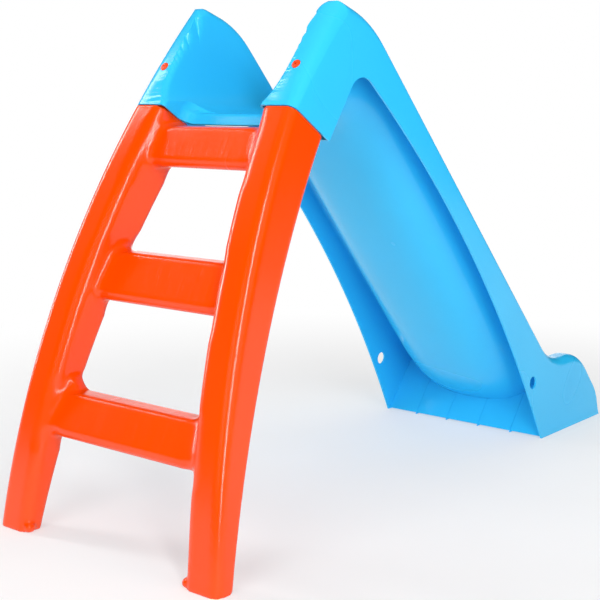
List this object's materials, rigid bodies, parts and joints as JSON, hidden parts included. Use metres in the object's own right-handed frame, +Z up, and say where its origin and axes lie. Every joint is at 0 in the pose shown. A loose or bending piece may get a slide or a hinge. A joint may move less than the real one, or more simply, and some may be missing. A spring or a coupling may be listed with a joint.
{
  "type": "toddler slide",
  "caption": "Free-standing toddler slide: a trough slide with raised handles and side skirts, plugged onto a hollow arched step ladder.",
  "frame": {"origin": "bottom centre of the whole slide's box, on the floor", "axes": "+X the way the child slides, from the ladder to the exit; +Y to the left of a child sitting at the top; +Z up"},
  "size_m": [1.107, 0.4236, 0.7255],
  "materials": {
    "chute_blue": "satin-gloss injection-moulded polypropylene, sky blue",
    "ladder_orange": "glossy blow-moulded polyethylene, bright orange, with fine draw lines",
    "screw_orange": "moulded plastic screw, satin"
  },
  "bodies": {
    "root": {"chute": "chute_blue", "ladder": "ladder_orange", "fixing_screw_left": "screw_orange", "fixing_screw_right": "screw_orange"}
  },
  "joints": []
}
